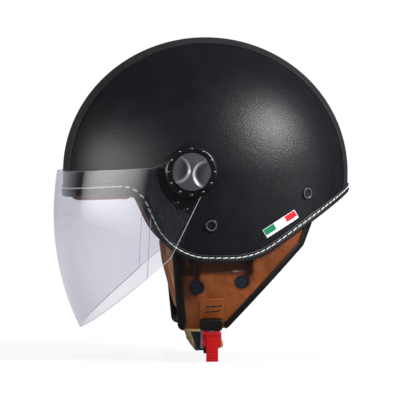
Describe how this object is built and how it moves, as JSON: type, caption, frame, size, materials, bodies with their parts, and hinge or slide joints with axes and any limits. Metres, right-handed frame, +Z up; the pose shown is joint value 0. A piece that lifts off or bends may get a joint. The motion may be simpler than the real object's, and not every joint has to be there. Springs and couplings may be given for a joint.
{
  "type": "half shell motorcycle helmet",
  "caption": "Open half shell helmet covered in stitched leather, with a clear tilting visor on side pivots, ear flaps and a quick-release chin strap.",
  "frame": {"origin": "middle of the shell's widest level, where the head sits", "axes": "+X to the back of the head, -Y to the wearer's left side, +Z up through the crown"},
  "size_m": [0.2716, 0.2486, 0.2935],
  "materials": {
    "shell": "moulded shell, satin",
    "black_leather": "fine grained, matt",
    "band_leather": "fine grained, matt",
    "brown_leather": "soft, creased",
    "foam": "light foam",
    "lining": "soft lining",
    "cream_pad": "padded, soft",
    "webbing": "woven",
    "visor": "clear, faint lavender",
    "black_plastic": "matt",
    "grey_plastic": "satin",
    "red_plastic": "satin",
    "red_ribbon": "woven ribbon",
    "steel": "brushed",
    "dark_steel": "satin",
    "patch": "three woven colours"
  },
  "bodies": {
    "helmet": {"bezel_studs_left": "steel", "bezel_studs_right": "steel", "brow_pad": "lining", "buckle_cover": "black_plastic", "buckle_frame": "steel", "comfort_liner": "lining", "ear_flap_left": "brown_leather", "ear_flap_right": "brown_leather", "ear_pad_left": "lining", "ear_pad_right": "lining", "flag_patch": "patch", "flap_binding_left": "black_leather", "flap_binding_right": "black_leather", "friction_washer_left": "black_plastic", "friction_washer_right": "black_plastic", "front_strap_rivet_left": "dark_steel", "front_strap_rivet_right": "dark_steel", "impact_foam": "foam", "leather_centre_band": "band_leather", "leather_panel_left": "black_leather", "leather_panel_right": "black_leather", "lever_pin": "steel", "lever_spring": "steel", "neck_roll": "lining", "outer_shell": "shell", "pivot_base_left": "black_plastic", "pivot_base_right": "black_plastic", "pivot_bezel_left": "black_plastic", "pivot_bezel_right": "black_plastic", "pivot_nut_left": "steel", "pivot_nut_right": "steel", "rear_strap_rivet_left": "dark_steel", "rear_strap_rivet_right": "dark_steel", "rim_trim": "black_leather", "side_strap_left": "webbing", "side_strap_right": "webbing", "strap_end_rivet": "steel", "strap_keeper_left": "brown_leather", "strap_keeper_right": "brown_leather", "vent_mesh_left": "black_plastic", "vent_mesh_right": "black_plastic", "welt_left": "black_leather", "welt_right": "black_leather"},
    "visor_swing": {"visor": "visor", "visor_arm_plate_left": "black_plastic", "visor_arm_plate_right": "black_plastic", "visor_arm_rivets_left": "dark_steel", "visor_arm_rivets_right": "dark_steel"},
    "left_knob": {"pivot_knob_left": "grey_plastic", "knob_screw_left": "black_plastic"},
    "right_knob": {"pivot_knob_right": "grey_plastic", "knob_screw_right": "black_plastic"},
    "release_lever": {"buckle_lever": "red_plastic"},
    "release_tab": {"pull_tab": "red_ribbon"},
    "chin_assembly": {"chin_strap": "webbing", "chin_pad": "cream_pad", "buckle_tongue": "black_plastic", "tongue_rivet": "steel"}
  },
  "joints": [
    {"name": "visor_tilt", "type": "hinge", "parent": "helmet", "child": "visor_swing", "pos_m": [-0.0178, 0, 0.0032], "axis": [0, 1, 0], "range_deg": [0, 65]},
    {"name": "left_knob_turn", "type": "hinge", "parent": "helmet", "child": "left_knob", "pos_m": [-0.0178, 0, 0.0032], "axis": [0, 1, 0], "range_deg": [0, 90]},
    {"name": "right_knob_turn", "type": "hinge", "parent": "helmet", "child": "right_knob", "pos_m": [-0.0178, 0, 0.0032], "axis": [0, -1, 0], "range_deg": [0, 90]},
    {"name": "buckle_lever_swing", "type": "hinge", "parent": "helmet", "child": "release_lever", "pos_m": [0.00133, -0.09305, -0.1426], "axis": [-0.9848, -0.1735, -0.0081], "range_deg": [0, 30], "stiffness_Nm_per_rad": 0.01, "springref_deg": -28.65},
    {"name": "pull_tab_swing", "type": "hinge", "parent": "release_lever", "child": "release_tab", "pos_m": [0.00209, -0.09727, -0.14519], "axis": [-0.9848, -0.1735, -0.0081], "range_deg": [0, 60]},
    {"name": "chin_strap_swing", "type": "hinge", "parent": "helmet", "child": "chin_assembly", "pos_m": [0.002, 0.0827, -0.137], "axis": [1, 0, 0], "range_deg": [0, 80]}
  ]
}
